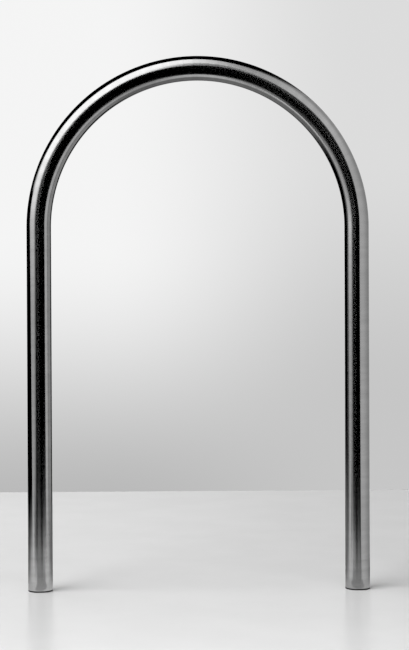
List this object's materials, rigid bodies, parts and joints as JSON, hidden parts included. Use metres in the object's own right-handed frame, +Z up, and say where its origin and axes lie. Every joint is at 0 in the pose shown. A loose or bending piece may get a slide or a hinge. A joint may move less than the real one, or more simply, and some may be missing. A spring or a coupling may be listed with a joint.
{
  "type": "hoop bike rack",
  "caption": "Inverted-U hoop of bent satin steel tube with a full round top and straight plugged legs, to lean and lock a bicycle against.",
  "frame": {"origin": "on the ground, midway between the two feet", "axes": "+Z up along the legs, +X from the left leg to the right leg, +Y through the hoop from front to back"},
  "size_m": [0.6734, 0.0484, 1.05],
  "materials": {
    "tube": "satin, with a fine grain round the tube",
    "end_plug": "moulded, matte black"
  },
  "bodies": {
    "root": {"hoop_tube": "tube", "left_end_plug": "end_plug", "right_end_plug": "end_plug"}
  },
  "joints": []
}
